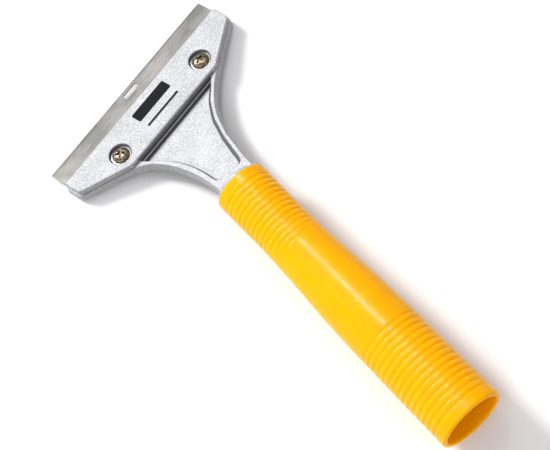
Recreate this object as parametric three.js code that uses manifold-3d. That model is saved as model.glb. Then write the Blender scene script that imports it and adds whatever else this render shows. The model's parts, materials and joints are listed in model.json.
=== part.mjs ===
// Hand-held floor scraper with a 100 mm blade. Millimetres, +Z up, +Y along the grip towards its open end.
// It stands as it lies on a flat surface: on the grip's rear lip and the lower front edge of the head.
import * as THREE from 'three';
import { mergeVertices } from 'three/addons/utils/BufferGeometryUtils.js';
import Module from 'manifold-3d';

// ---- driving dimensions -------------------------------------------------------------------------
const BLADE_LEN = 100;          // stock 100 mm double-edged scraper blade: this sets the scale
const BLADE_DEPTH = 18;
const BLADE_T = 0.6;
const BLADE_OUT = 9.8;          // exposed in front of the clamp plate
const BLADE_SLOT = [8.4, 2.9];  // locating slot, one near each cutting edge
const SLOT_INSET = 3.3;         // slot centre to its cutting edge
const LUG = [7.8, 2.5];         // lug in the rear slot

const PLATE_T = 3.0;            // clamp plate
const PLATE_LIP = 1.95;         // what is left of it above the blade
const PLATE_HALF = 50.25;
const PLATE_END = 8.4;          // length of its short straight ends
const PLATE_REAR_HALF = 27.6;
const PLATE_DEPTH = 20.4;
const SCREW_HALF = 26.85;       // half the distance between the two screws
const SCREW_BACK = 11.9;        // screws behind the front edge
const COUNTERBORE_R = 5.05;
const COUNTERBORE_DEPTH = 1.8;

const HEAD_T = 6.2;             // clamp plate top to casting underside
const RIM_TOP = -2.1;           // raised rims of the neck, below the plate's top
const WEB_FLOOR = -4.2;
const LEDGE_TOP = -3.3;

const HEAD_SKEW = 11.42;        // degrees the head is turned from square to the grip; 0 gives a square head
const HEAD_PITCH = 10.02;       // degrees the head slopes down towards the blade
const HEAD_AT = [1.75, -66.63, -8.455]; // middle of the plate's top front edge, from the grip's front centre

const GRIP_LEN = 136.5;
const GRIP_REAR_R = 14.465;     // rear lip, also the height of the grip's axis
const SOCKET_R = 12.42;         // open rear end
const SOCKET_DEPTH = 92;
const COLLAR_R = 9.4;           // round collar of the casting, seated in the grip's mouth
const COLLAR_DEEP = 7;
const TANG = [12, 5.2, 44];     // flat tang: width, thickness, how far it reaches into the grip
const RIB_DEPTH = 0.45;
const RIB_HALF = 0.85;

const SCREW = { r: 1.95, head: 3.95, tall: 1.85, under: -1.25, tip: -6.0 }; // M4 pan head
const WASHER = { r: 4.5, bore: 2.15, z: [-1.77, -1.28] };
const GAP = 0.05;

// ---- solids -------------------------------------------------------------------------------------
const wasm = await Module();
wasm.setup();

function solid(geometry) {
  const g = geometry.clone();
  g.deleteAttribute('normal');
  g.deleteAttribute('uv');
  const m = mergeVertices(g, 1e-4);
  return new wasm.Manifold(new wasm.Mesh({
    numProp: 3,
    vertProperties: new Float32Array(m.attributes.position.array),
    triVerts: new Uint32Array(m.index.array),
  }));
}

function geometryOf(manifold) {
  const mesh = manifold.getMesh();
  const g = new THREE.BufferGeometry();
  g.setAttribute('position', new THREE.BufferAttribute(new Float32Array(mesh.vertProperties), 3));
  g.setIndex(new THREE.BufferAttribute(new Uint32Array(mesh.triVerts), 1));
  return g;
}

function slab(points, z0, z1) {
  const shape = new THREE.Shape(points.map(([x, y]) => new THREE.Vector2(x, y)));
  const g = new THREE.ExtrudeGeometry(shape, { depth: z1 - z0, bevelEnabled: false });
  g.translate(0, 0, z0);
  return solid(g);
}

function box(x0, x1, y0, y1, z0, z1) {
  return slab([[x0, y0], [x1, y0], [x1, y1], [x0, y1]], z0, z1);
}

function disc(x, y, r, z0, z1, n = 32) {
  const g = new THREE.CylinderGeometry(r, r, z1 - z0, n).rotateX(Math.PI / 2);
  g.translate(x, y, (z0 + z1) / 2);
  return solid(g);
}

// profile of [radius, along] turned about Y
function turned(profile, n = 32) {
  return solid(new THREE.LatheGeometry(profile.map(([r, y]) => new THREE.Vector2(r, y)), n));
}

// smooth open line through a few points
function smooth(points, n) {
  return new THREE.SplineCurve(points.map(([x, y]) => new THREE.Vector2(x, y)))
    .getPoints(n).map((p) => [p.x, p.y]);
}

// round the corners of a closed outline; corners is a list of [x, y, radius]
function rounded(corners, steps = 4) {
  const out = [];
  corners.forEach(([x, y, r], i) => {
    const prev = corners[(i + corners.length - 1) % corners.length];
    const next = corners[(i + 1) % corners.length];
    if (!r) { out.push([x, y]); return; }
    const p = new THREE.Vector2(x, y);
    const a = new THREE.Vector2(prev[0], prev[1]).sub(p).normalize();
    const b = new THREE.Vector2(next[0], next[1]).sub(p).normalize();
    const half = Math.acos(THREE.MathUtils.clamp(a.dot(b), -1, 1)) / 2;
    const back = r / Math.tan(half);
    const p0 = p.clone().addScaledVector(a, back);
    const p1 = p.clone().addScaledVector(b, back);
    for (let k = 0; k <= steps; k += 1) {
      const t = k / steps;
      const q = p0.clone().multiplyScalar((1 - t) ** 2)
        .addScaledVector(p, 2 * t * (1 - t)).addScaledVector(p1, t * t);
      out.push([q.x, q.y]);
    }
  });
  return out;
}

// long hole or lug with round corners, lying along x
function lozenge(length, width, y, z0, z1) {
  const [a, b, r] = [length / 2, width / 2, width * 0.4];
  return slab(rounded([[-a, y - b, r], [a, y - b, r], [a, y + b, r], [-a, y + b, r]]), z0, z1);
}

// ---- head, drawn flat: x along the blade, y from blade to grip, z = 0 on the clamp plate --------
const toHead = new THREE.Matrix4().makeTranslation(...HEAD_AT)
  .multiply(new THREE.Matrix4().makeRotationZ(THREE.MathUtils.degToRad(HEAD_SKEW)))
  .multiply(new THREE.Matrix4().makeRotationX(THREE.MathUtils.degToRad(HEAD_PITCH)));
const fromHead = toHead.clone().invert();

const plateOutline = rounded([
  [PLATE_HALF, 0, 0], [PLATE_HALF, PLATE_END, 1.2], [PLATE_REAR_HALF, PLATE_DEPTH, 1.2],
  [-PLATE_REAR_HALF, PLATE_DEPTH, 1.2], [-PLATE_HALF, PLATE_END, 1.2], [-PLATE_HALF, 0, 0],
]);

// the neck leaves the back of the head and runs out at the grip's own angle
const neckLeft = smooth([[33.5, 17.6], [27.9, 21.3], [23.4, 25.6], [20.9, 30.2], [18.9, 36], [17.6, 43],
  [17.2, 49], [17.3, 54.5], [17.9, 60], [18.9, 64]], 22);
const neckRight = smooth([[-33.5, 17.6], [-28.3, 20.2], [-22, 23.9], [-16.1, 28.6], [-12.5, 32.2],
  [-9.6, 36], [-7.3, 40.1], [-4.9, 44.8], [-3.3, 49.4], [-1.6, 54], [0, 59], [1.6, 65.5]], 22);
const webLeft = smooth([[24.2, 21.4], [21.9, 25.2], [20, 28.2], [18, 31.9], [16.6, 36], [15.6, 40.5],
  [15, 45], [14.9, 49.4], [15.3, 54], [15.4, 56.8]], 14);
const webRight = smooth([[-22.4, 21.4], [-17.7, 25.4], [-14.3, 28], [-11, 31.8], [-8, 35.7], [-5.8, 40],
  [-3.5, 44.5], [-1.8, 49], [-0.3, 53], [0.9, 56.5], [2.2, 58.9], [4, 59.6]], 14);

function headCasting() {
  const end = PLATE_HALF + 0.6;
  const outline = [
    [-end, 0.5], [end, 0.5], ...rounded([[end, 0.5, 0], [end, PLATE_END + 0.1, 2], [33.5, 17.6, 0]]).slice(1, 6),
    ...neckLeft, ...neckRight.slice().reverse(),
    ...rounded([[-33.5, 17.6, 0], [-end, PLATE_END + 0.1, 2], [-end, 0.5, 0]]).slice(1, 6),
  ];
  let body = slab(outline, -HEAD_T, RIM_TOP);
  // seat for the clamp plate, with a low pad in front that carries the blade
  body = body.subtract(box(-60, 60, -1, PLATE_DEPTH + GAP, -PLATE_T - GAP, 1));
  const rear = PLATE_LIP + BLADE_T + 2 * GAP;
  body = body.add(box(-PLATE_HALF + 0.3, PLATE_HALF - 0.3, 0.5, BLADE_DEPTH - BLADE_OUT, -PLATE_T - 1, -rear));
  const boss = BLADE_DEPTH - BLADE_OUT - SLOT_INSET;
  body = body.add(lozenge(...LUG, boss, -rear - 0.5, -PLATE_LIP - 2 * GAP));
  // ledge just behind the plate, then the sunken web between the rims
  body = body.subtract(slab([[-24.6, 19], [24.6, 19], [24.2, 21.4], [-22.4, 21.4]], LEDGE_TOP, 1));
  body = body.subtract(slab([...webRight, ...webLeft.slice().reverse()], WEB_FLOOR, 1));
  for (const s of [-1, 1]) {
    body = body.subtract(disc(s * SCREW_HALF, SCREW_BACK, SCREW.r + 0.05, -HEAD_T - 1, 1));
  }
  // collar and tang lie on the grip's axis
  body = body.transform(toHead.toArray());
  const collar = turned([[0, -6], [4, -6], [COLLAR_R - 1, -2.8], [COLLAR_R, -1.8], [COLLAR_R, COLLAR_DEEP],
    [0, COLLAR_DEEP]], 40);
  body = body.add(collar);
  const [w, t, l] = TANG;
  return body.add(box(-w / 2, w / 2, COLLAR_DEEP - 1, l, -t / 2, t / 2));
}

function clampPlate() {
  let plate = slab(plateOutline, -PLATE_T, 0);
  plate = plate.subtract(box(-60, 60, -1, BLADE_DEPTH - BLADE_OUT + 0.2, -PLATE_T - 1, -PLATE_LIP));
  // soft edge along the back
  const chamfer = slab([[0, 0], [1, 0], [0, 1]], -40, 40);
  const lean = new THREE.Matrix4().makeTranslation(0, PLATE_DEPTH + 0.2, 0.2)
    .multiply(new THREE.Matrix4().makeRotationY(Math.PI / 2))
    .multiply(new THREE.Matrix4().makeRotationZ(-Math.PI / 2));
  plate = plate.subtract(chamfer.transform(lean.toArray()));
  for (const s of [-1, 1]) {
    plate = plate.subtract(disc(s * SCREW_HALF, SCREW_BACK, COUNTERBORE_R, -COUNTERBORE_DEPTH, 1, 40));
    plate = plate.subtract(disc(s * SCREW_HALF, SCREW_BACK, 2.25, -5, 1));
  }
  return plate.transform(toHead.toArray());
}

function blade() {
  const top = -PLATE_LIP - GAP;
  const front = -BLADE_OUT;
  const back = BLADE_DEPTH - BLADE_OUT;
  const mid = top - BLADE_T / 2;
  const section = [[front, mid - 0.05], [front + 1.4, top - BLADE_T], [back - 1.4, top - BLADE_T],
    [back, mid - 0.05], [back, mid + 0.05], [back - 1.4, top], [front + 1.4, top], [front, mid + 0.05]];
  const lay = new THREE.Matrix4().makeBasis(new THREE.Vector3(0, 1, 0), new THREE.Vector3(0, 0, 1),
    new THREE.Vector3(1, 0, 0));
  let strip = slab(section, -BLADE_LEN / 2, BLADE_LEN / 2).transform(lay.toArray());
  for (const y of [front + SLOT_INSET, back - SLOT_INSET]) {
    strip = strip.subtract(lozenge(...BLADE_SLOT, y, -5, 0));
  }
  return strip.transform(toHead.toArray());
}

const upright = new THREE.Matrix4().makeRotationX(Math.PI / 2);

function screwAt(side) {
  const { r, head, tall, under, tip } = SCREW;
  let s = turned([[0, tip], [r - 0.5, tip], [r, tip + 0.5], [r, under], [head, under], [head, under + 0.75],
    [head - 0.45, under + 1.3], [head - 1.6, under + tall - 0.15], [0, under + tall]], 28)
    .transform(upright.toArray());
  const top = under + tall + 1;
  s = s.subtract(box(-2.1, 2.1, -0.45, 0.45, top - 2, top));
  s = s.subtract(box(-0.45, 0.45, -2.1, 2.1, top - 2, top));
  return s.transform(toHead.clone()
    .multiply(new THREE.Matrix4().makeTranslation(side * SCREW_HALF, SCREW_BACK, 0)).toArray());
}

function washerAt(side) {
  const [z0, z1] = WASHER.z;
  return disc(side * SCREW_HALF, SCREW_BACK, WASHER.r, z0, z1, 36)
    .subtract(disc(side * SCREW_HALF, SCREW_BACK, WASHER.bore, z0 - 1, z1 + 1))
    .transform(toHead.toArray());
}

// plain dark marks standing in for the maker's print
function labelPatch() {
  return slab(rounded([[-10.2, 3.9, 0.9], [10.4, 3.9, 0.9], [10.4, 9.3, 0.9], [-10.2, 9.3, 0.9]], 3),
    0.02, 0.12).transform(toHead.toArray());
}

function labelLine() {
  return slab(rounded([[-9.6, 13.2, 0.3], [10, 13.2, 0.3], [10, 14.3, 0.3], [-9.6, 14.3, 0.3]], 2),
    0.02, 0.12).transform(toHead.toArray());
}

// ---- grip, turned about its own axis ------------------------------------------------------------
const GRIP_OUTER = [[0, 12.0], [14, 11.85], [28, 11.7], [44, 12.25], [60, 13.15], [70, 13.65], [90, 14.12],
  [112, 14.3], [136.5, 14.465]];

function gripRadius(y) {
  for (let i = 1; i < GRIP_OUTER.length; i += 1) {
    const [y0, r0] = GRIP_OUTER[i - 1];
    const [y1, r1] = GRIP_OUTER[i];
    if (y <= y1) return r0 + ((r1 - r0) * (y - y0)) / (y1 - y0);
  }
  return GRIP_REAR_R;
}

const SMOOTH_PART = [44, 60, 70, 80]; // stations between the two ribbed lengths
const frontRibs = { first: 6.1, pitch: 2.65, all: 9, tongue: 4 };
const rearRibs = { first: 91, pitch: 2.87, all: 15 };

function grip() {
  const cuts = [];
  for (let i = 0; i < frontRibs.all; i += 1) cuts.push(frontRibs.first + i * frontRibs.pitch);
  for (let i = 0; i < rearRibs.all; i += 1) cuts.push(rearRibs.first + i * rearRibs.pitch);
  const outer = [[gripRadius(0) - 1.4, 0], [gripRadius(0) - 0.4, 0.5], [gripRadius(1.6), 1.6]];
  for (const y of [...cuts, ...SMOOTH_PART].sort((a, b) => a - b)) {
    if (SMOOTH_PART.includes(y)) { outer.push([gripRadius(y), y]); continue; }
    for (const [off, depth] of [[-RIB_HALF, 0], [0, RIB_DEPTH], [RIB_HALF, 0]]) {
      outer.push([gripRadius(y + off) - depth, y + off]);
    }
  }
  outer.push([GRIP_REAR_R, GRIP_LEN - 2.4], [GRIP_REAR_R - 0.25, GRIP_LEN - 1], [GRIP_REAR_R - 1, GRIP_LEN - 0.15],
    [SOCKET_R + 0.6, GRIP_LEN], [SOCKET_R, GRIP_LEN - 0.5]);
  const inner = [[10.4, GRIP_LEN - SOCKET_DEPTH], [0, GRIP_LEN - SOCKET_DEPTH]];
  const mouth = [[0, COLLAR_DEEP + GAP], [COLLAR_R + 0.06, COLLAR_DEEP + GAP], [COLLAR_R + 0.06, 0]];
  // the solid middle keeps the tang; both ends are opened by the profile itself
  let body = turned([...mouth, ...outer, ...inner], 32);
  const [w, t, l] = TANG;
  body = body.subtract(box(-w / 2 - GAP, w / 2 + GAP, 0, l + 0.3, -t / 2 - GAP, t / 2 + GAP));
  // last few front ribs reach only over the top, each shorter than the one before
  for (let i = 0; i < frontRibs.tongue; i += 1) {
    const y = frontRibs.first + (frontRibs.all + i) * frontRibs.pitch;
    const r = gripRadius(y);
    const ring = turned([[r - RIB_DEPTH, y], [r + 0.3, y - 1.3], [r + 0.3, y + 1.3], [r - RIB_DEPTH, y]], 32);
    const keep = r * Math.min(0.95, (y - 28) / 11);
    body = body.subtract(ring.intersect(box(-20, 20, y - 3, y + 3, keep, 20)));
  }
  return body;
}

// ---- assembly -----------------------------------------------------------------------------------
const CAST = { color: 0xd8d9dc, metalness: 0.75, roughness: 0.42 };
const PARTS = [
  ['head_casting', headCasting, CAST],
  ['clamp_plate', clampPlate, { color: 0xe2e4e6, metalness: 0.7, roughness: 0.45 }],
  ['blade', blade, { color: 0xa9a89f, metalness: 0.9, roughness: 0.32 }],
  ['washer_left', () => washerAt(1), { color: 0xd9d4cf, metalness: 0.95, roughness: 0.2 }],
  ['washer_right', () => washerAt(-1), { color: 0xd9d4cf, metalness: 0.95, roughness: 0.2 }],
  ['screw_left', () => screwAt(1), { color: 0x6f675c, metalness: 0.95, roughness: 0.25 }],
  ['screw_right', () => screwAt(-1), { color: 0x6f675c, metalness: 0.95, roughness: 0.25 }],
  ['label_patch', labelPatch, { color: 0x17171b, metalness: 0, roughness: 0.5 }],
  ['label_line', labelLine, { color: 0x3a3a40, metalness: 0, roughness: 0.5 }],
  ['grip', grip, { color: 0xffc107, metalness: 0, roughness: 0.33 }],
];

const group = new THREE.Group();
group.name = 'floor_scraper';
for (const [name, make, look] of PARTS) {
  const geometry = geometryOf(make());
  const mesh = new THREE.Mesh(geometry, new THREE.MeshStandardMaterial(look));
  mesh.name = name;
  group.add(mesh);
}

// put the whole tool over the middle of its own footprint, lowest point on z = 0
const extent = new THREE.Box3().setFromObject(group);
const middle = extent.getCenter(new THREE.Vector3());
for (const mesh of group.children) mesh.geometry.translate(-middle.x, -middle.y, -extent.min.z);

export default group;
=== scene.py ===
"""Looks of the hand floor scraper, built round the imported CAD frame.

Shapes are drawn in millimetres in one of two frames: the head's own frame (x along the blade, y from the
blade to the grip, z = 0 on top of the clamp plate) and the grip's own frame (y along its axis, from its
front face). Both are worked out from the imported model.
"""

import itertools
import json
import math

import bpy
import numpy as np
from mathutils import Matrix, Vector


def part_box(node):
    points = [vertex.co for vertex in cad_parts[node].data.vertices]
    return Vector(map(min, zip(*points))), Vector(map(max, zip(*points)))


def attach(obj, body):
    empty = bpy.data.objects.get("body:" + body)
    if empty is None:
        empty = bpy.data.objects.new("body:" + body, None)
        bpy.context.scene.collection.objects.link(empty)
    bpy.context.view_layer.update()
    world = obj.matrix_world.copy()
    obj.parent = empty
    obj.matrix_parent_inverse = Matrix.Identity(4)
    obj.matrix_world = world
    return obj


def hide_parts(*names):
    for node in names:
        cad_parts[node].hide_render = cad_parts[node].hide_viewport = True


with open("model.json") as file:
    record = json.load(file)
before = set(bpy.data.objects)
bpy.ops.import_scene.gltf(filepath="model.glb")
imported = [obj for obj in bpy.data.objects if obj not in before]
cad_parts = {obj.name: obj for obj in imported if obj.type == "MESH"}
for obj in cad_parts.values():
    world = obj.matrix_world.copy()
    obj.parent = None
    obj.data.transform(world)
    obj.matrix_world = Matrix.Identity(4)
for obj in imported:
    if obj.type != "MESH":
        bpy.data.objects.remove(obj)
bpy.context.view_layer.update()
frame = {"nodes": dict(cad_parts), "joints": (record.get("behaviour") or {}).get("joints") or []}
JOINTS = {j["name"]: j for j in frame["joints"]}

MM = 0.001

# ---- sizes, in millimetres --------------------------------------------------------------------------
# As the CAD part has them, except the drafts, the groove, the collar's blend, the thread, the cross recess
# and the thumb rest, which only the visual pieces have.

SCREW_HALF, SCREW_BACK = 26.85, 11.9
SCREW_SEAT = -1.25

BLADE_LEN, BLADE_DEPTH, BLADE_T, BLADE_OUT = 100.0, 18.0, 0.6, 9.8
BLADE_GRIND = 1.4
BLADE_SLOT = (8.4, 2.9)
SLOT_INSET = 3.3
LUG = (7.8, 2.5)
SNAG = 0.05

PLATE_T, PLATE_LIP = 3.0, 1.95
PLATE_HALF, PLATE_END, PLATE_REAR_HALF, PLATE_DEPTH = 50.25, 8.4, 27.6, 20.4
COUNTERBORE_R, COUNTERBORE_DEPTH = 5.05, 1.8
SHANK_HOLE_R = 2.25

HEAD_T, RIM_TOP, WEB_FLOOR, LEDGE_TOP = 6.2, -2.1, -4.2, -3.3
# STEP_SHADE is where the painted shadow of the clamp plate on the web floor ends.
LEDGE_EDGE, STEP_SHADE = 21.4, 22.7
HEAD_END = PLATE_HALF + 0.6
NECK_DRAFT, END_DRAFT = 0.8, 0.3
WEB_DRAFT = (0.3, 0.6)
GROOVE_HALF, GROOVE_DEEP = 0.32, 0.5

COLLAR_R, COLLAR_AHEAD, COLLAR_DEEP = 9.4, 2.2, 7.0
COLLAR_BLEND = 2.0
TANG_HALF_WIDTH, TANG_HALF_THICK, TANG_LEN = 6.0, 2.6, 44.0

GRIP_OUTER = [(0, 12.0), (14, 11.85), (28, 11.7), (44, 12.25), (60, 13.15), (70, 13.65), (90, 14.12),
              (112, 14.3), (136.5, 14.465)]
SOCKET_R, SOCKET_END_R, SOCKET_DEPTH = 12.42, 10.4, 92.0
FRONT_RIBS = {"first": 6.1, "pitch": 2.65, "all": 9, "tongue": 4}
REAR_RIBS = {"first": 91.0, "pitch": 2.87, "all": 15}
RIB_DEPTH, RIB_WIDTH = 0.26, 0.5
PAD_MIDDLE, PAD_HALF_LEN, PAD_HALF_WIDTH, PAD_DEPTH = 60.0, 14.5, 7.2, 0.09
PAD_RIM_DEPTH, PAD_RIM_SPREAD = 0.1, 0.045

SCREW_R, SCREW_HEAD_R, SCREW_TALL, SCREW_TIP = 1.95, 3.95, 1.85, -6.0
THREAD_PITCH, THREAD_DEPTH = 0.7, 0.38
DOME_R, RECESS_DEEP = 6.4, 1.5
WASHER_R, WASHER_BORE = 4.5, 2.15
WASHER_Z = (-1.77, -1.28)

# ---- the two drawing frames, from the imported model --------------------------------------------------


def head_matrix():
    left, right = (Vector(JOINTS[side + "_screw_turn"]["pos_m"]) for side in ("left", "right"))
    z = Vector(JOINTS["clamp_lift"]["axis"]).normalized()
    x = (left - right).normalized()
    y = z.cross(x)
    origin = (left + right) / 2 - y * SCREW_BACK * MM - z * SCREW_SEAT * MM
    turn = Matrix((x, y, z)).transposed().to_4x4()
    return Matrix.Translation(origin) @ turn


def grip_matrix():
    lo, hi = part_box("grip")
    return Matrix.Translation(((lo.x + hi.x) / 2, lo.y, (lo.z + hi.z) / 2))


HEAD = head_matrix()
GRIP = grip_matrix()
GRIP_LEN = (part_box("grip")[1].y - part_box("grip")[0].y) / MM
GRIP_IN_HEAD = HEAD.inverted() @ GRIP
BLADE_TOP = -PLATE_LIP - SNAG

# ---- outlines and fields ----------------------------------------------------------------------------


def smooth(points, steps=5):
    """Open curve through the points."""
    p = np.array(points, float)
    p = np.vstack([2 * p[0] - p[1], p, 2 * p[-1] - p[-2]])
    t = np.linspace(0, 1, steps, endpoint=False)[:, None]
    spans = [
        0.5 * (2 * b + (c - a) * t + (2 * a - 5 * b + 4 * c - d) * t**2 + (3 * b - a - 3 * c + d) * t**3)
        for a, b, c, d in zip(p, p[1:], p[2:], p[3:])
    ]
    return np.vstack([*spans, p[-2:-1]])


def rounded(corners, steps=5):
    """Closed outline with rounded corners; each corner is (x, y, how far back the rounding starts)."""
    out = []
    for i, (x, y, back) in enumerate(corners):
        here = np.array((x, y), float)
        before = np.array(corners[i - 1][:2], float) - here
        after = np.array(corners[(i + 1) % len(corners)][:2], float) - here
        a = here + before / np.linalg.norm(before) * back
        b = here + after / np.linalg.norm(after) * back
        for t in np.linspace(0, 1, steps if back else 1):
            out.append((1 - t) ** 2 * a + 2 * t * (1 - t) * here + t * t * b)
    return np.array(out)


def ease(value, start, end):
    """0 before start, 1 after end, smooth between them."""
    t = np.clip((value - start) / (end - start), 0, 1)
    return t * t * (3 - 2 * t)


def outline_distance(points, x, y):
    """Distance to a closed outline, negative inside it."""
    nearest = np.full(np.broadcast(x, y).shape, 1e9)
    inside = np.zeros(nearest.shape, bool)
    for (ax, ay), (bx, by) in zip(points, np.roll(points, -1, 0)):
        ex, ey = bx - ax, by - ay
        t = np.clip(((x - ax) * ex + (y - ay) * ey) / (ex * ex + ey * ey + 1e-12), 0, 1)
        nearest = np.minimum(nearest, np.hypot(x - ax - t * ex, y - ay - t * ey))
        if ay != by:
            inside ^= ((ay > y) != (by > y)) & (x < ax + ex * (y - ay) / ey)
    return np.where(inside, -nearest, nearest)


def both(a, b, r=0.0):
    """Where two fields overlap, with the edge between them rounded."""
    if not r:
        return np.maximum(a, b)
    return np.minimum(-r, np.maximum(a, b)) + np.hypot(np.maximum(r + a, 0), np.maximum(r + b, 0))


def either(a, b, r=0.0):
    """Two fields joined, with a fillet between them."""
    return -both(-a, -b, r)


def cut(a, b, r=0.0):
    """The first field less the second."""
    return both(a, -b, r)


def between(value, low, high):
    return np.maximum(low - value, value - high)


def box_field(x, y, z, xs, ys, zs, r=0.0):
    return both(both(between(x, *xs), between(y, *ys), r), between(z, *zs), r)


def lozenge(x, y, size):
    """Long outline with round corners, lying along x."""
    return both(np.abs(x) - size[0] / 2, np.abs(y) - size[1] / 2, size[1] * 0.4)


def solid(name, field, lows, highs, step, shade=None):
    """Closed mesh where field(x, y, z) is zero, by surface nets on a grid; millimetres in, metres out.

    shade(x, y, z) gives 0 to 1 at each point, kept for the material as how much painted shade that spot gets.
    """
    axes = [np.arange(lo, hi + step, step) for lo, hi in zip(lows, highs)]
    x, y, z = np.meshgrid(*axes, indexing="ij", sparse=True)
    values = np.broadcast_to(field(x, y, z), [len(a) for a in axes]).astype(np.float32)
    inside = values < 0
    mixed = np.zeros([n - 1 for n in inside.shape], bool)
    for corner in itertools.product((0, 1), repeat=3):
        window = tuple(slice(c, c + n) for c, n in zip(corner, mixed.shape))
        mixed |= inside[window] != inside[:-1, :-1, :-1]
    cells = np.argwhere(mixed)
    total, hits = np.zeros((len(cells), 3)), np.zeros(len(cells))
    for axis in range(3):
        for offset in itertools.product((0, 1), repeat=2):
            start = np.insert(offset, axis, 0)
            end = np.insert(offset, axis, 1)
            a, b = values[tuple((cells + start).T)], values[tuple((cells + end).T)]
            hit = (a < 0) != (b < 0)
            along = a[hit] / (a[hit] - b[hit])
            total[hit] += start + along[:, None] * (end - start)
            hits[hit] += 1
    points = (np.array(lows) + step * (cells + total / hits[:, None])) * MM
    number = np.zeros(mixed.shape, int)
    number[mixed] = np.arange(len(cells))
    quads = []
    for axis in range(3):
        u, v = np.roll(np.eye(3, dtype=int), -axis, 0)[1:]
        low = np.moveaxis(np.moveaxis(inside, axis, 0)[:-1], 0, axis)
        high = np.moveaxis(np.moveaxis(inside, axis, 0)[1:], 0, axis)
        edge = np.argwhere(low != high)
        ring = [number[tuple((edge - shift).T)] for shift in (0 * u, u, u + v, v)]
        quad = np.stack(ring, 1)
        outward = low[tuple(edge.T)]
        quads.append(np.where(outward[:, None], quad, quad[:, ::-1]))
    piece = mesh_object(name, points, np.vstack(quads))
    if shade is not None:
        dark = piece.data.attributes.new("dark", "FLOAT", "POINT")
        dark.data.foreach_set("value", shade(*(points / MM).T).astype(np.float32))
    return piece


def mesh_object(name, points, faces):
    mesh = bpy.data.meshes.new(name)
    mesh.from_pydata(np.asarray(points).tolist(), [], [list(face) for face in faces])
    mesh.polygons.foreach_set("use_smooth", [True] * len(mesh.polygons))
    mesh.update()
    piece = bpy.data.objects.new(name, mesh)
    bpy.context.scene.collection.objects.link(piece)
    return piece


def rings_object(name, rings):
    """Closed surface through rings of points, each end closed to the middle of its last ring."""
    rings = np.array(rings)
    count, around = rings.shape[:2]
    points = np.vstack([rings.reshape(-1, 3), rings[0].mean(0), rings[-1].mean(0)])
    here = np.arange(around)
    after = np.roll(here, -1)
    band = np.stack([here, after, after + around, here + around], 1)
    faces = [(i * around + quad).tolist() for i in range(count - 1) for quad in band]
    first, last = count * around, count * around + 1
    end = (count - 1) * around
    faces += [[first, b, a] for a, b in zip(here, after)]
    faces += [[last, a + end, b + end] for a, b in zip(here, after)]
    return mesh_object(name, points * MM, faces)


def finish_piece(piece, matrix, body, node, material):
    piece.data.transform(matrix)
    piece.data.materials.append(material)
    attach(piece, body)
    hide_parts(node)
    return piece


# ---- materials --------------------------------------------------------------------------------------


class Look:
    """A Principled material with a few procedural layers in object coordinates."""

    def __init__(self, name, turned_with=None, **sockets):
        self.material = bpy.data.materials.new(name)
        self.material.use_nodes = True
        self.tree = self.material.node_tree
        self.shader = self.tree.nodes["Principled BSDF"]
        for socket, value in sockets.items():
            self.shader.inputs[socket.replace("_", " ")].default_value = value
        self.place = self.tree.nodes.new("ShaderNodeTexCoord").outputs["Object"]
        self.normal = None
        if turned_with is not None:
            turn = self.node("Mapping", {"Vector": self.place}, vector_type="TEXTURE")
            turn.inputs["Rotation"].default_value = turned_with.to_euler()
            self.place = turn.outputs[0]

    def node(self, kind, inputs=(), **settings):
        made = self.tree.nodes.new("ShaderNode" + kind)
        for key, value in settings.items():
            setattr(made, key, value)
        for key, value in dict(inputs).items():
            if isinstance(value, bpy.types.NodeSocket):
                self.tree.links.new(value, made.inputs[key])
            else:
                made.inputs[key].default_value = value
        return made

    def noise(self, size_mm, detail=2.0, stretch=(1, 1, 1), roughness=0.5):
        scaled = self.node("Mapping", {"Vector": self.place, "Scale": stretch})
        made = self.node("TexNoise", {"Vector": scaled.outputs[0], "Scale": 1 / (size_mm * MM),
                                      "Detail": detail, "Roughness": roughness})
        return made.outputs["Fac"]

    def ramp(self, value, low, high, start=0.3, end=0.7):
        """Maps a noise value onto low .. high, numbers or colours."""
        spread = self.node("MapRange", {"Value": value, "From Min": start, "From Max": end})
        if isinstance(low, (int, float)):
            spread.inputs["To Min"].default_value = low
            spread.inputs["To Max"].default_value = high
            return spread.outputs[0]
        mixed = self.node("Mix", {0: spread.outputs[0], 6: (*low, 1), 7: (*high, 1)}, data_type="RGBA")
        return mixed.outputs[2]

    def blend(self, mask, low, high):
        return self.node("Mix", {0: mask, 6: low, 7: high}, data_type="RGBA").outputs[2]

    def bump(self, height, depth_mm, strength=1.0):
        made = self.node("Bump", {"Height": height, "Distance": depth_mm * MM, "Strength": strength})
        if self.normal is not None:
            self.tree.links.new(self.normal, made.inputs["Normal"])
        self.normal = made.outputs[0]
        self.tree.links.new(self.normal, self.shader.inputs["Normal"])

    def set(self, socket, output):
        self.tree.links.new(output, self.shader.inputs[socket])


def cast_metal(name, light, dark, shadow):
    look = Look(name, Metallic=0.35, Roughness=0.65)
    speckle = look.noise(0.6, 3.0)
    cloud = look.noise(9.0, 2.0)
    grain = look.ramp(speckle, dark, light, 0.38, 0.62)
    # Painted shade: where the "dark" attribute is high, the grain goes over to the shadow colour.
    recess = look.node("Attribute", attribute_name="dark").outputs["Fac"]
    look.set("Base Color", look.blend(recess, grain, (*shadow, 1)))
    look.set("Roughness", look.ramp(cloud, 0.6, 0.7))
    look.bump(speckle, 0.07, 0.6)
    return look.material


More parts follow.
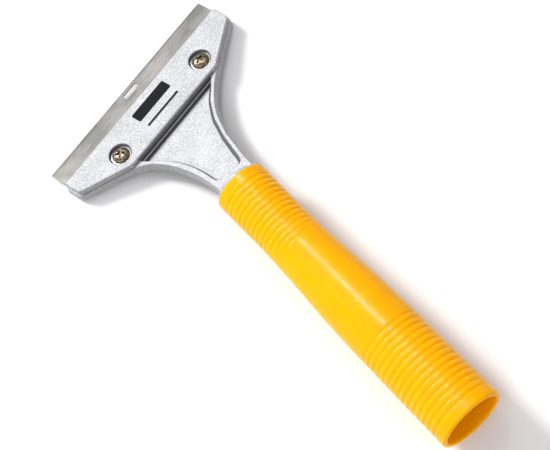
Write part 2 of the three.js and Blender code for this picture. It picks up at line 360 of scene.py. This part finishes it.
def blade_steel():
    look = Look("blade_steel", HEAD, Metallic=0.6, Roughness=0.5)
    streak = look.noise(0.5, 3.0, (0.02, 1, 1))
    cloud = look.noise(9.0, 4.0, (0.6, 1, 1), 0.6)
    mottle = look.ramp(cloud, (0.115, 0.114, 0.104), (0.205, 0.195, 0.187), 0.36, 0.64)
    fine = look.ramp(streak, (0.80, 0.80, 0.80), (1.12, 1.12, 1.12))
    tinted = look.node("Mix", {0: 1.0, 6: mottle, 7: fine}, data_type="RGBA", blend_type="MULTIPLY")
    # Painted light: the blade is drawn paler towards its +x end, standing in for the brighter light there.
    along = look.node("SeparateXYZ", {"Vector": look.place}).outputs["X"]
    end = look.ramp(along, (0.9, 0.9, 0.9), (1.5, 1.46, 1.43), 0.02, 0.06)
    with_painted_bright_end = look.node("Mix", {0: 1.0, 6: tinted.outputs[2], 7: end}, data_type="RGBA", blend_type="MULTIPLY")
    look.set("Base Color", with_painted_bright_end.outputs[2])
    look.set("Roughness", look.ramp(streak, 0.42, 0.56))
    look.bump(streak, 0.02, 0.3)
    return look.material


def plated(name, light, dark, rough):
    look = Look(name, Metallic=1.0, Roughness=rough)
    cloud = look.noise(1.6, 3.0)
    look.set("Base Color", look.ramp(cloud, dark, light))
    look.set("Roughness", look.ramp(look.noise(0.5, 2.0), rough * 0.8, rough * 1.3))
    look.bump(look.noise(0.35, 2.0), 0.02, 0.3)
    return look.material


def printed(name, colour):
    look = Look(name, Metallic=0.0, Roughness=0.85, Specular_IOR_Level=0.1)
    grain = look.noise(0.3, 2.0)
    look.set("Base Color", look.ramp(grain, colour, tuple(c * 1.6 + 0.004 for c in colour)))
    look.bump(grain, 0.02, 0.3)
    return look.material


def grip_plastic():
    look = Look("grip_plastic", Metallic=0.0, Roughness=0.3, Specular_IOR_Level=0.08,
                Subsurface_Weight=0.35, Subsurface_Radius=(1.0, 0.4, 0.05), Subsurface_Scale=0.004)
    cloud = look.noise(16.0, 2.0)
    fine = look.noise(0.35, 2.0)
    scuff = look.noise(1.6, 4.0, (1, 0.4, 1), 0.65)
    look.set("Base Color", look.ramp(cloud, (0.96, 0.40, 0.0), (0.99, 0.43, 0.0)))
    look.set("Roughness", look.ramp(scuff, 0.24, 0.38))
    look.bump(fine, 0.03, 0.2)
    look.bump(scuff, 0.09, 0.3)
    return look.material


# ---- the cast head ----------------------------------------------------------------------------------

NECK_LEFT = smooth([(33.5, 17.6), (27.9, 21.3), (23.4, 25.6), (20.9, 30.2), (18.9, 36), (17.6, 43),
                    (17.2, 49), (17.3, 54.5), (17.9, 60), (18.9, 64)])
NECK_RIGHT = smooth([(-33.5, 17.6), (-28.3, 20.2), (-22, 23.9), (-16.1, 28.6), (-12.5, 32.2), (-9.6, 36),
                     (-7.3, 40.1), (-4.9, 44.8), (-3.3, 49.4), (-1.6, 54), (0, 59), (1.6, 65.5)])
WEB_LEFT = smooth([(24.2, 21.4), (21.9, 25.2), (20, 28.2), (18, 31.9), (16.6, 36), (15.6, 40.5), (15, 45),
                   (14.9, 49.4), (15.1, 53.6), (14.8, 56.2), (13.3, 57.5)])
WEB_RIGHT = smooth([(-22.4, 21.4), (-17.7, 25.4), (-14.3, 28), (-11, 31.8), (-8, 35.7), (-5.8, 40),
                    (-3.5, 44.5), (-1.8, 49), (-0.3, 53), (0.9, 56.5), (2.2, 58.9), (4, 59.6)])
LEDGE_OUTLINE = np.array([(-24.6, 19), (24.6, 19), (24.2, LEDGE_EDGE), (-22.4, LEDGE_EDGE)])


def head_outline():
    left = rounded([(HEAD_END, 0.5, 0), (HEAD_END, PLATE_END + 0.1, 1.6), (33.5, 17.6, 0)])
    right = rounded([(-33.5, 17.6, 0), (-HEAD_END, PLATE_END + 0.1, 1.6), (-HEAD_END, 0.5, 0)])
    return np.vstack([left[:-1], NECK_LEFT, NECK_RIGHT[::-1], right[1:]])


def web_distance(x, y):
    """Distance to the outline of the sunken web, which is open towards the ledge behind the plate."""
    return outline_distance(np.vstack([WEB_RIGHT, WEB_LEFT[::-1]]), x, y)


def web_draft(x, y):
    """How far the web's inner wall leans: little on the left and along the ledge, more on the right."""
    left, right = WEB_DRAFT
    return left + (right - left) * ease((y - 21) * 0.22 - x, -2, 2) * ease(y, 22.2, 24)


def painted_head_shade(x, y, z):
    """Painted shade on the steep inner faces of the casting, which the light hardly reaches, and a painted
    shadow of the clamp plate on the web floor behind the ledge.
    """
    from_web, half = web_distance(x, y), web_draft(x, y) / 2
    wall = ease(-z, -RIM_TOP + 0.1, -RIM_TOP + 0.5) * ease(half - np.abs(from_web + half), -0.45, -0.25)
    groove = ease(-z, -WEB_FLOOR + 0.1, -WEB_FLOOR + 0.3)
    inner = np.where((y > PLATE_DEPTH + 1) & (from_web < 1), np.maximum(0.65 * wall, groove), 0)
    behind = np.where((np.abs(x) < 24.8) & (y < 24) & (y > PLATE_DEPTH - 1), 1, 0)
    # Behind the plate: painted shade on the ledge and a painted shadow of the clamp plate on the web floor up
    # to STEP_SHADE; the ledge's rear edge is left bright.
    ledge = 1 - ease(y, LEDGE_EDGE - 0.45, LEDGE_EDGE - 0.3)
    below = ease(-z, -LEDGE_TOP + 0.1, -LEDGE_TOP + 0.25) * (1 - ease(y, STEP_SHADE - 0.2, STEP_SHADE + 0.1))
    return np.maximum(inner, behind * np.maximum(np.where(z < LEDGE_TOP + 0.3, ledge, 0), below))


def in_grip_frame(x, y, z):
    """Across, along and up in the grip's frame, for a point in the head's frame."""
    m = np.array(GRIP_IN_HEAD)
    x, y, z = x - m[0, 3] / MM, y - m[1, 3] / MM, z - m[2, 3] / MM
    return [m[0, k] * x + m[1, k] * y + m[2, k] * z for k in range(3)]


def head_field(x, y, z):
    draft = END_DRAFT + (NECK_DRAFT - END_DRAFT) * ease(y, 14, 26)
    rise = (z + HEAD_T) / (HEAD_T + RIM_TOP)
    wall = outline_distance(head_outline(), x, y) - draft * (1 - rise)
    body = both(wall, between(z, -HEAD_T, RIM_TOP), 0.3)
    body = cut(body, both(y - PLATE_DEPTH - SNAG, -PLATE_T - SNAG - z), 0.12)
    pad_top = BLADE_TOP - BLADE_T - SNAG
    pad = box_field(x, y, z, (-49.9, 49.9), (0.5, BLADE_DEPTH - BLADE_OUT), (-PLATE_T - 1, pad_top), 0.2)
    lug_at = BLADE_DEPTH - BLADE_OUT - SLOT_INSET
    lug = both(lozenge(x, y - lug_at, LUG), between(z, pad_top - 1, BLADE_TOP - 0.1), 0.2)
    body = either(either(body, pad, 0.15), lug)
    across, along, up = in_grip_frame(x, y, z)
    collar = both(np.hypot(across, up) - COLLAR_R, between(along, -COLLAR_AHEAD, COLLAR_DEEP), 1.0)
    body = either(body, collar, COLLAR_BLEND)
    tang = box_field(across, along, up, (-TANG_HALF_WIDTH, TANG_HALF_WIDTH), (0, TANG_LEN),
                     (-TANG_HALF_THICK, TANG_HALF_THICK), 0.5)
    body = either(body, tang)
    ledge = outline_distance(LEDGE_OUTLINE, x, y)
    body = cut(body, both(ledge, LEDGE_TOP - z, 0.1), 0.15)
    web, lean = web_distance(x, y), web_draft(x, y)
    slope = lean * np.clip((z - RIM_TOP) / (RIM_TOP - WEB_FLOOR), -1, 0)
    body = cut(body, both(web - slope, WEB_FLOOR - z, 0.25), 0.15)
    groove = both(np.abs(web + lean + GROOVE_HALF) - GROOVE_HALF, between(z, WEB_FLOOR - GROOVE_DEEP, 0))
    body = cut(body, groove, 0.15)
    for side in (-1, 1):
        hole = np.hypot(x - side * SCREW_HALF, y - SCREW_BACK) - SCREW_R - SNAG
        body = cut(body, hole)
    return body


def plate_outline():
    return rounded([(PLATE_HALF, 0, 0.25), (PLATE_HALF, PLATE_END, 1.2), (PLATE_REAR_HALF, PLATE_DEPTH, 1.2),
                    (-PLATE_REAR_HALF, PLATE_DEPTH, 1.2), (-PLATE_HALF, PLATE_END, 1.2),
                    (-PLATE_HALF, 0, 0.25)])


def painted_plate_shade(x, y, z):
    """Painted shade on the rear wall and in the two counterbores, which face away from the light."""
    dark = ease(-z, 0.1, 1.2) * ease(y, PLATE_DEPTH - 0.7, PLATE_DEPTH - 0.2) * ease(-np.abs(x), -25.6, -24.8)
    for side in (-1, 1):
        away = np.hypot(x - side * SCREW_HALF, y - SCREW_BACK)
        dark = np.maximum(dark, ease(-z, 0.15, 0.4) * (1 - ease(away, COUNTERBORE_R, COUNTERBORE_R + 0.4)))
    return dark


def plate_field(x, y, z):
    wall = outline_distance(plate_outline(), x, y)
    body = both(wall, between(z, -PLATE_T, 0), 0.22)
    rear = y - PLATE_DEPTH
    body = both(body, both(rear, z, 1.1))
    body = cut(body, both(y - BLADE_DEPTH + BLADE_OUT - 0.2, z + PLATE_LIP), 0.1)
    for side in (-1, 1):
        away = np.hypot(x - side * SCREW_HALF, y - SCREW_BACK)
        body = cut(body, both(away - COUNTERBORE_R, -COUNTERBORE_DEPTH - z, 0.15), 0.22)
        body = cut(body, away - SHANK_HOLE_R, 0.1)
    return body


def screw_field(x, y, z):
    """Pan head with a cross recess on a threaded shank; z = 0 under the head."""
    away = np.hypot(x, y)
    turn = np.arctan2(y, x) / (2 * math.pi)
    dome = np.sqrt(away**2 + (z - SCREW_TALL + DOME_R) ** 2) - DOME_R
    head = both(both(away - SCREW_HEAD_R, dome, 0.45), -z, 0.15)
    phase = (z / THREAD_PITCH - turn) % 1.0
    thread = THREAD_DEPTH * np.abs(2 * phase - 1)
    tip = SCREW_TIP - SCREW_SEAT
    shank = both((away - SCREW_R + thread) * 0.8, between(z, tip, 0.4), 0.2)
    recess_floor = SCREW_TALL - RECESS_DEEP
    widening = np.clip((z - recess_floor) / RECESS_DEEP, 0, 1)
    arm_half = 0.45 + 0.2 * widening
    reach = 1.2 + 1.35 * widening
    arms = either(both(np.abs(x) - arm_half, np.abs(y) - reach),
                  both(np.abs(y) - arm_half, np.abs(x) - reach), 0.3)
    recess = both(arms, recess_floor - z, 0.1)
    return either(cut(head, recess, 0.12), shank)


def washer_field(x, y, z):
    away = np.hypot(x, y)
    thick = WASHER_Z[1] - WASHER_Z[0]
    return both(between(away, WASHER_BORE, WASHER_R), between(z, -thick / 2, thick / 2), 0.14)


def blade_field(x, y, z):
    """Double-edged strip; z = 0 on its middle."""
    front, back = -BLADE_OUT, BLADE_DEPTH - BLADE_OUT
    taper = (BLADE_T / 2 - 0.03) / BLADE_GRIND
    lean = math.hypot(1, taper)
    half = np.minimum(y - front, back - y) * taper + 0.03
    body = both(np.abs(z) - BLADE_T / 2, (np.abs(z) - half) / lean)
    body = both(body, np.maximum(between(y, front, back), np.abs(x) - BLADE_LEN / 2), 0.03)
    for middle in (front + SLOT_INSET, back - SLOT_INSET):
        body = cut(body, lozenge(x, y - middle, BLADE_SLOT), 0.04)
    return body


# ---- the grip ---------------------------------------------------------------------------------------

GRIP_LINE = smooth(GRIP_OUTER, 12)


def rib_cut(along, angle):
    """How deep the ribs are cut at a place on the grip; angle 90 degrees is the top."""
    depth = np.zeros(np.broadcast(along, angle).shape)
    for ribs in (FRONT_RIBS, REAR_RIBS):
        for i in range(ribs["all"]):
            at = ribs["first"] + i * ribs["pitch"]
            depth = depth + RIB_DEPTH * np.exp(-(((along - at) / RIB_WIDTH) ** 2))
    for i in range(FRONT_RIBS["tongue"]):
        at = FRONT_RIBS["first"] + (FRONT_RIBS["all"] + i) * FRONT_RIBS["pitch"]
        reach = 0.18 + 0.24 * i
        mask = ease(np.sin(angle), reach - 0.12, reach + 0.12)
        depth = depth + RIB_DEPTH * 0.8 * mask * np.exp(-(((along - at) / RIB_WIDTH) ** 2))
    return depth


def pad_cut(along, angle, radius):
    """Shallow oval thumb rest on the top, with a fine line round it."""
    across = (angle - math.pi / 2) * radius
    out = np.hypot((along - PAD_MIDDLE) / PAD_HALF_LEN, across / PAD_HALF_WIDTH)
    rim = np.exp(-(((out - 1) / PAD_RIM_SPREAD) ** 2))
    return PAD_DEPTH * (1 - ease(out, 0.9, 1.03)) + PAD_RIM_DEPTH * rim


def arc(middle, radius, start, end, steps=7):
    """Points (radius, along) on a round edge, angles in degrees."""
    turns = np.radians(np.linspace(start, end, steps))
    return [(middle[0] + radius * math.cos(t), middle[1] + radius * math.sin(t)) for t in turns]


def grip_shell():
    around = 180
    angle = np.arange(around) * 2 * math.pi / around
    front_r, rear_r = GRIP_OUTER[0][1], GRIP_OUTER[-1][1]
    mouth_r = COLLAR_R + 0.15
    profile = [(mouth_r * t, COLLAR_DEEP + 0.3) for t in (0.5, 1.0)]
    profile += [(mouth_r, 0.6)] + arc((mouth_r + 0.3, 0.3), 0.3, 180, 270, 4)
    profile += arc((front_r - 1.1, 1.1), 1.1, 270, 360)
    stations = np.concatenate([np.arange(1.5, 42, 0.3), np.arange(42, 87, 0.6),
                               np.arange(87, GRIP_LEN - 1.3, 0.3)])
    outer = [(float(np.interp(y, GRIP_LINE[:, 0], GRIP_LINE[:, 1])), float(y)) for y in stations]
    closing = arc((rear_r - 0.9, GRIP_LEN - 0.9), 0.9, 0, 90)
    closing += arc((SOCKET_R + 0.5, GRIP_LEN - 0.5), 0.5, 90, 180, 5)
    floor_at = GRIP_LEN - SOCKET_DEPTH
    closing += [(SOCKET_R + (SOCKET_END_R - SOCKET_R) * t, GRIP_LEN - 1 - (SOCKET_DEPTH - 2) * t)
                for t in np.linspace(0, 1, 24)]
    closing += arc((SOCKET_END_R - 1, floor_at + 1), 1.0, 0, -90, 5) + [(4.0, floor_at)]
    rings = []
    for radius, along in profile + outer + closing:
        cut_in = 0.0
        if (radius, along) in outer:
            cut_in = rib_cut(along, angle) + pad_cut(along, angle, radius)
        r = radius - cut_in + 0 * angle
        rings.append(np.stack([r * np.cos(angle), along + 0 * angle, r * np.sin(angle)], 1))
    return rings_object("grip_shell", np.array(rings)[:, ::-1])


# ---- camera, floor and light ------------------------------------------------------------------------

CAMERA_AT = (0.11798, 0.27589, 0.66238)
CAMERA_LOOKS = (-0.16522, -0.38907, -0.90627)
CAMERA_UP = (-0.64042, -0.65649, 0.39859)
SENSOR_MM, LENS_MM = 36.0, 116.81
FLOOR_HALF = 3.0
BRIGHT_SIDE = (0.55, -0.70, 0.45)


def make_camera():
    data = bpy.data.cameras.new("camera")
    camera = bpy.data.objects.new("camera", data)
    bpy.context.scene.collection.objects.link(camera)
    data.sensor_width = SENSOR_MM
    data.lens = LENS_MM
    looks = Vector(CAMERA_LOOKS).normalized()
    right = looks.cross(Vector(CAMERA_UP)).normalized()
    turn = Matrix((right, right.cross(looks), -looks)).transposed().to_4x4()
    camera.matrix_world = Matrix.Translation(CAMERA_AT) @ turn
    data.clip_start, data.clip_end = 0.01, 20.0
    bpy.context.scene.camera = camera


def area_light(name, towards, distance, size, power, colour=(1, 1, 1)):
    data = bpy.data.lights.new(name, "AREA")
    data.shape = "SQUARE"
    data.size = size
    data.energy = power
    data.color = colour
    light = bpy.data.objects.new(name, data)
    bpy.context.scene.collection.objects.link(light)
    way = Vector(towards).normalized()
    light.location = way * distance
    light.rotation_mode = "QUATERNION"
    light.rotation_quaternion = way.to_track_quat("Z", "Y")
    return light


def make_stage():
    corners = [(x * FLOOR_HALF, y * FLOOR_HALF, 0) for x, y in ((-1, -1), (1, -1), (1, 1), (-1, 1))]
    floor = mesh_object("floor", corners, [(0, 1, 2, 3)])
    look = Look("floor", Roughness=0.7)
    look.set("Base Color", look.ramp(look.noise(60.0, 2.0), (0.81, 0.81, 0.815), (0.83, 0.83, 0.835)))
    floor.data.materials.append(look.material)
    world = bpy.data.worlds.new("studio")
    bpy.context.scene.world = world
    world.use_nodes = True
    nodes, links = world.node_tree.nodes, world.node_tree.links
    way = nodes.new("ShaderNodeTexCoord")
    facing = nodes.new("ShaderNodeVectorMath")
    facing.operation = "DOT_PRODUCT"
    facing.inputs[1].default_value = Vector(BRIGHT_SIDE).normalized()
    spread = nodes.new("ShaderNodeMapRange")
    for socket, value in (("From Min", -0.5), ("From Max", 0.9), ("To Min", 0.2), ("To Max", 0.85)):
        spread.inputs[socket].default_value = value
    links.new(way.outputs["Generated"], facing.inputs[0])
    links.new(facing.outputs["Value"], spread.inputs["Value"])
    links.new(spread.outputs[0], nodes["Background"].inputs["Strength"])
    nodes["Background"].inputs["Color"].default_value = (0.97, 0.975, 1.0, 1)
    area_light("key", (0.29, -0.80, 0.66), 2.5, 0.6, 60.0)
    area_light("side_fill", (0.8, 0.25, 0.9), 2.5, 1.7, 14.0, (0.97, 0.97, 1.0))
    area_light("rear_fill", (-0.45, 0.75, 0.5), 2.5, 1.4, 15.0, (1.0, 0.97, 0.93))
    # Small, and seen only in reflections: the highlight line along the grip.
    gleam = area_light("gleam", (-0.118, -0.389, 0.914), 2.2, 0.11, 55.0)
    gleam.visible_diffuse = False
    bpy.context.scene.view_settings.view_transform = "Standard"


# ---- building ---------------------------------------------------------------------------------------

# The third colour of each cast metal is its painted shade colour.
CAST = cast_metal("cast_metal", (0.45, 0.45, 0.46), (0.29, 0.295, 0.31), (0.08, 0.08, 0.085))
PLATE = cast_metal("plate_metal", (0.42, 0.425, 0.435), (0.265, 0.27, 0.285), (0.17, 0.17, 0.175))
NICKEL = plated("dark_nickel", (0.36, 0.29, 0.20), (0.05, 0.042, 0.034), 0.27)
ZINC = plated("bright_zinc", (0.80, 0.76, 0.74), (0.6, 0.57, 0.55), 0.18)

make_camera()
make_stage()

finish_piece(solid("cast_head", head_field, (-51.6, -0.6, -14.2), (51.6, 110.6, 7.6), 0.25, painted_head_shade),
             HEAD, "handle_and_head", "head_casting", CAST)
finish_piece(solid("clamp_top", plate_field, (-51, -0.9, -3.5), (51, 21.2, 0.6), 0.25, painted_plate_shade),
             HEAD, "clamp", "clamp_plate", PLATE)
blade_at = HEAD @ Matrix.Translation((0, 0, (BLADE_TOP - BLADE_T / 2) * MM))
finish_piece(solid("blade_strip", blade_field, (-50.5, -10.3, -0.5), (50.5, 10.0, 0.5), 0.1),
             blade_at, "blade", "blade", blade_steel())
for side, sign in (("left", 1), ("right", -1)):
    spot = HEAD @ Matrix.Translation((sign * SCREW_HALF * MM, SCREW_BACK * MM, 0))
    screw_at = spot @ Matrix.Translation((0, 0, SCREW_SEAT * MM)) @ Matrix.Rotation(0.5 + 0.3 * sign, 4, "Z")
    screw = solid("screw_body_" + side, screw_field, (-4.3, -4.3, -5.1), (4.3, 4.3, 2.2), 0.12)
    finish_piece(screw, screw_at, side + "_screw", "screw_" + side, NICKEL)
    washer_at = spot @ Matrix.Translation((0, 0, (WASHER_Z[0] + WASHER_Z[1]) / 2 * MM))
    washer = solid("washer_ring_" + side, washer_field, (-4.8, -4.8, -0.5), (4.8, 4.8, 0.5), 0.12)
    finish_piece(washer, washer_at, side + "_washer", "washer_" + side, ZINC)
finish_piece(grip_shell(), GRIP, "handle_and_head", "grip", grip_plastic())

for node, look in (("label_patch", printed("print_black", (0.006, 0.006, 0.008))),
                   ("label_line", printed("print_grey", (0.02, 0.02, 0.024)))):
    label = frame["nodes"][node]
    label.data.materials.clear()
    label.data.materials.append(look)
